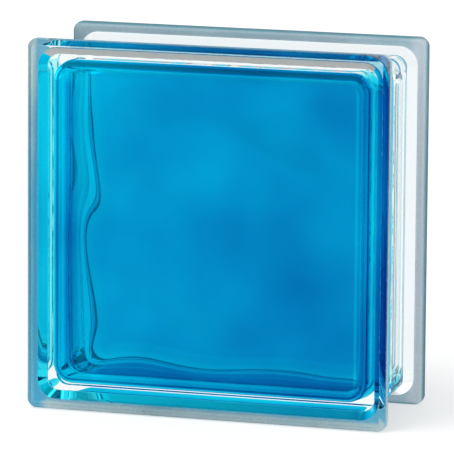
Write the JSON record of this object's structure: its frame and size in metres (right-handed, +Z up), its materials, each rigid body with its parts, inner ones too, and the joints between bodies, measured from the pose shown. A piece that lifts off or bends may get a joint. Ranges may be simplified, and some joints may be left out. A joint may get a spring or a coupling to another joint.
{
  "type": "hollow glass block",
  "caption": "Square hollow glass building block: wave-figured panes, a sealed blue-lacquered cavity, and rims either side of a mortar channel round the edge.",
  "frame": {"origin": "middle of the underside, on the plane of the rims it stands on", "axes": "+X across the front face to its right, +Y through the block from the front face to the rear face, +Z up"},
  "size_m": [0.19, 0.08, 0.19],
  "materials": {
    "blue_glass": "clear polished pressed glass outside, transparent blue lacquer on the inside of the cavity, frosted edges of the rims"
  },
  "bodies": {
    "root": {"glass_block": "blue_glass"}
  },
  "joints": []
}
